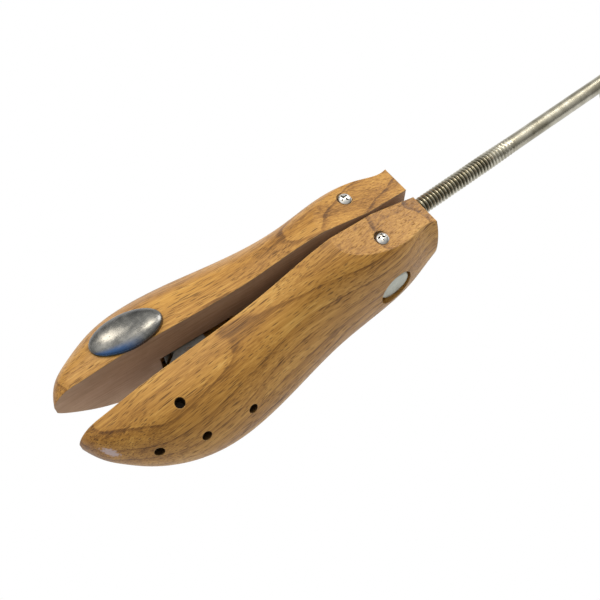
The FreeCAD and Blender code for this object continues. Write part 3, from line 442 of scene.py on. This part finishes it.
def profile_depth(share):
    share = share % 1.0
    stops = PROFILE + [(1.0, 1.0)]
    for (start, first), (end, last) in zip(stops, stops[1:]):
        if share <= end:
            return first + (last - first) * (share - start) / (end - start)
    return 1.0


def thread_radius(along, angle):
    """Radius of the rod's surface in the threaded stretch and its run-out."""
    ahead = along - THREAD_BACK
    crest_share = min(1.0, max(0.0, ahead / CREST_FADE))
    root_share = min(1.0, max(0.0, ahead / ROOT_FADE))
    crest = SHANK_RADIUS + (ROD_RADIUS - SHANK_RADIUS) * crest_share
    depth = THREAD_DEPTH * root_share ** 1.3
    turns = (along - THREAD_BACK) / PITCH - angle / (2 * math.pi)
    return crest - depth * profile_depth(turns)


def ring_of(mesh, along, radius):
    ring = []
    for step in range(STEPS):
        angle = 2 * math.pi * step / STEPS
        spot = (along, AXIS.y + radius * math.cos(angle), AXIS.z + radius * math.sin(angle))
        ring.append(mesh.verts.new(spot))
    return ring


def bridge(mesh, first, second):
    for step in range(STEPS):
        after = (step + 1) % STEPS
        mesh.faces.new((first[step], first[after], second[after], second[step]))


def make_threaded_rod(name, material):
    """Rod whose mesh rows follow the helix, so that crests and roots are true edges."""
    mesh = bmesh.new()
    per_turn = len(PROFILE)
    turns = int((THREAD_FRONT - THREAD_BACK) / PITCH) + 3
    columns = []
    for step in range(STEPS):
        angle = 2 * math.pi * step / STEPS
        column = []
        for row in range(turns * per_turn):
            share = PROFILE[row % per_turn][0] + row // per_turn - 1
            along = THREAD_BACK + (share + step / STEPS) * PITCH
            along = min(THREAD_FRONT, max(THREAD_BACK, along))
            radius = thread_radius(along, angle)
            spot = (along, AXIS.y + radius * math.cos(angle), AXIS.z + radius * math.sin(angle))
            column.append(mesh.verts.new(spot))
        columns.append(column)
    for step in range(STEPS):
        here = columns[step]
        if step + 1 < STEPS:
            beside = columns[step + 1]
        else:
            beside = columns[0][per_turn:]
        for row in range(min(len(here), len(beside)) - 1):
            mesh.faces.new((here[row], beside[row], beside[row + 1], here[row + 1]))
    bmesh.ops.remove_doubles(mesh, verts=mesh.verts, dist=1e-7)

    def bearing(vertex):
        """Angle of a vertex round the axis, the same for both sides of the first step."""
        turn = 2 * math.pi
        angle = math.atan2(vertex.co.z - AXIS.z, vertex.co.y - AXIS.y)
        return round(angle % turn, 6) % turn

    def rim(along):
        """Vertices of the open end there, in order round the axis."""
        found = [v for v in mesh.verts if v.is_boundary and abs(v.co.x - along) < 1e-6]
        return sorted(found, key=bearing)

    back, front = rim(THREAD_BACK), rim(THREAD_FRONT)
    last = back
    for along, radius in ((rod_low.x + BACK_CHAMFER, SHANK_RADIUS),
                          (rod_low.x, SHANK_RADIUS - BACK_CHAMFER)):
        ring = ring_of(mesh, along, radius)
        bridge(mesh, last, ring)
        last = ring
    mesh.faces.new(last)
    last = front
    for along, radius in ((THREAD_FRONT, JOURNAL_RADIUS - JOURNAL_PLAY),
                          (rod_high.x - FRONT_CHAMFER, JOURNAL_RADIUS - JOURNAL_PLAY),
                          (rod_high.x, JOURNAL_RADIUS - FRONT_CHAMFER)):
        ring = ring_of(mesh, along, radius)
        bridge(mesh, ring, last)
        last = ring
    mesh.faces.new(list(reversed(last)))
    bmesh.ops.recalc_face_normals(mesh, faces=mesh.faces)
    data = bpy.data.meshes.new(name)
    mesh.to_mesh(data)
    mesh.free()
    data.shade_smooth()
    data.set_sharp_from_angle(angle=math.radians(38))
    data.materials.append(material)
    rod = bpy.data.objects.new(name, data)
    bpy.context.scene.collection.objects.link(rod)
    return rod


# ---------------------------------------------------------------- finishes

# Edges of the CAD pieces that bend more than this stay sharp.
SHARP_EDGE = math.radians(32)

left_wood = make_wood("left_wood", 1, (-1.0, -82.0), 37.0, scuffed=True)
right_wood = make_wood("right_wood", -1, (24.0, -34.0), 410.0)
rod_steel = make_rod_steel("rod_steel", ROD_RADIUS - THREAD_DEPTH, ROD_RADIUS)
barrel_steel = make_barrel_steel("barrel_steel")
plug_steel = make_plug_steel("plug_steel")
screw_steel = make_steel("screw_steel", (0.62, 0.61, 0.59), (0.86, 0.85, 0.82),
                         rough=(0.07, 0.15), grime=0.0, relief=0.03, edge=0.10, shade=0.95)
plate_steel = make_steel("plate_steel", (0.10, 0.105, 0.095), (0.24, 0.25, 0.225),
                         rough=(0.34, 0.55), grime=0.5)
small_steel = make_steel("small_steel", (0.40, 0.39, 0.36), (0.62, 0.61, 0.57))
wedge_metal = make_steel("wedge_metal", (0.25, 0.25, 0.24), (0.42, 0.42, 0.41),
                         rough=(0.45, 0.65), grain=(0.7, 0.7, 0.7), relief=0.5)
bar_steel = make_steel("bar_steel", (0.34, 0.32, 0.26), (0.58, 0.56, 0.49),
                       grain=(1.5, 1.5, 0.1))
cap_steel = make_steel("cap_steel", (0.33, 0.31, 0.26), (0.57, 0.55, 0.49),
                       rough=(0.18, 0.34))

FINISHES = {
    "left_half": (left_wood, "varnished_hardwood"),
    "right_half": (right_wood, "varnished_hardwood"),
    "trunnion_barrel": (barrel_steel, "machined_steel"),
    "left_pivot_screw": (screw_steel, "bright_screw"),
    "right_pivot_screw": (screw_steel, "bright_screw"),
    "left_wear_plate": (plate_steel, "mill_steel"),
    "right_wear_plate": (plate_steel, "mill_steel"),
    "left_plate_screws": (small_steel, "small_screw"),
    "right_plate_screws": (small_steel, "small_screw"),
    "wedge_block": (wedge_metal, "cast_wedge"),
    "wedge_retaining_pins": (small_steel, "small_screw"),
    "thrust_washer": (small_steel, "small_screw"),
    "handle_hub": (bar_steel, "handle_steel"),
    "handle_bar": (bar_steel, "handle_steel"),
    "upper_handle_cap": (cap_steel, "handle_cap"),
    "lower_handle_cap": (cap_steel, "handle_cap"),
    "handle_pin": (small_steel, "small_screw"),
    "bunion_plug_dome": (plug_steel, "tarnished_plug"),
    "bunion_plug_peg": (small_steel, "small_screw"),
}
for name, (material, slot) in FINISHES.items():
    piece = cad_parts[name]
    piece.data.materials.clear()
    piece.data.materials.append(material)
    piece.data.shade_smooth()
    piece.data.set_sharp_from_angle(angle=SHARP_EDGE)

rod = make_threaded_rod("threaded_rod_turned", rod_steel)
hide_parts("threaded_rod")
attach(rod, "screw")


# ---------------------------------------------------------------- stage, lights, camera

FLOOR_HALF = 4.0
# The floor lies this far below the soles, so that the two faces don't flicker.
FLOOR_DROP = 0.05 * MM
LAMPS_AIM = Vector((0.05, 0.0, 0.03))

def make_floor():
    mesh = bmesh.new()
    bmesh.ops.create_grid(mesh, x_segments=2, y_segments=2, size=FLOOR_HALF)
    data = bpy.data.meshes.new("floor")
    mesh.to_mesh(data)
    mesh.free()
    material, tree = new_material("light_table")
    glow = node(tree, "ShaderNodeEmission", {"Color": (1.0, 1.0, 1.0, 1.0), "Strength": 1.0})
    node(tree, "ShaderNodeOutputMaterial", {0: glow.outputs[0]})
    data.materials.append(material)
    floor = bpy.data.objects.new("floor", data)
    floor.location = (0.0, 0.0, -FLOOR_DROP)
    bpy.context.scene.collection.objects.link(floor)


def add_softbox(name, toward, distance, width, height, power, colour):
    """Square light that stands in the given direction and faces the object."""
    light = bpy.data.lights.new(name, "AREA")
    light.shape = "RECTANGLE"
    light.size = width
    light.size_y = height
    light.energy = power
    light.color = colour
    lamp = bpy.data.objects.new(name, light)
    way = Vector(toward).normalized()
    lamp.location = LAMPS_AIM + way * distance
    lamp.rotation_euler = way.to_track_quat("Z", "Y").to_euler()
    bpy.context.scene.collection.objects.link(lamp)


make_floor()
add_softbox("key", (0.17, -0.68, 0.71), 1.2, 0.30, 0.46, 3.2, (1.0, 0.900, 0.74))
add_softbox("window", (-0.38, -0.26, 0.88), 1.2, 0.30, 0.40, 3.0, (1.0, 0.900, 0.74))
add_softbox("heel_lamp", (-0.90, -0.22, 0.44), 1.3, 0.6, 0.6, 6.0, (1.0, 0.97, 0.92))

# The room: bright overhead, dimmer low down and on the side that the left half faces.
world = bpy.data.worlds.new("studio")
world.use_nodes = True
sky = world.node_tree
toward = node(sky, "ShaderNodeSeparateXYZ",
              {0: node(sky, "ShaderNodeTexCoord").outputs["Generated"]})
height = fade(sky, toward.outputs[2], -0.05, 0.85)
dim_side = fade(sky, toward.outputs[1], -0.25, 0.75, 1.0, 0.45)
strength = maths(sky, "MULTIPLY_ADD", height, 0.95, 0.30)
strength = maths(sky, "MULTIPLY", strength, dim_side)
backdrop = sky.nodes["Background"]
backdrop.inputs["Color"].default_value = (0.97, 0.96, 0.92, 1.0)
sky.links.new(strength, backdrop.inputs["Strength"])
bpy.context.scene.world = world
bpy.context.scene.view_settings.view_transform = "Standard"

VIEW = Vector((-0.2841, -0.3664, -0.8860)).normalized()
UP = Vector((-0.5430, -0.7001, 0.4636)).normalized()
CAMERA_PLACE = (0.18244, 0.16520, 0.41300)
LENS_MILLIMETRES = 53.57
camera_data = bpy.data.cameras.new("camera")
camera_data.lens = LENS_MILLIMETRES
camera_data.sensor_width = 36.0
camera_data.clip_start = 0.01
camera_data.clip_end = 20.0
camera = bpy.data.objects.new("camera", camera_data)
right = VIEW.cross(UP).normalized()
upward = right.cross(VIEW)
rotation = Matrix((right, upward, -VIEW)).transposed()
camera.matrix_world = Matrix.Translation(CAMERA_PLACE) @ rotation.to_4x4()
bpy.context.scene.collection.objects.link(camera)
bpy.context.scene.camera = camera
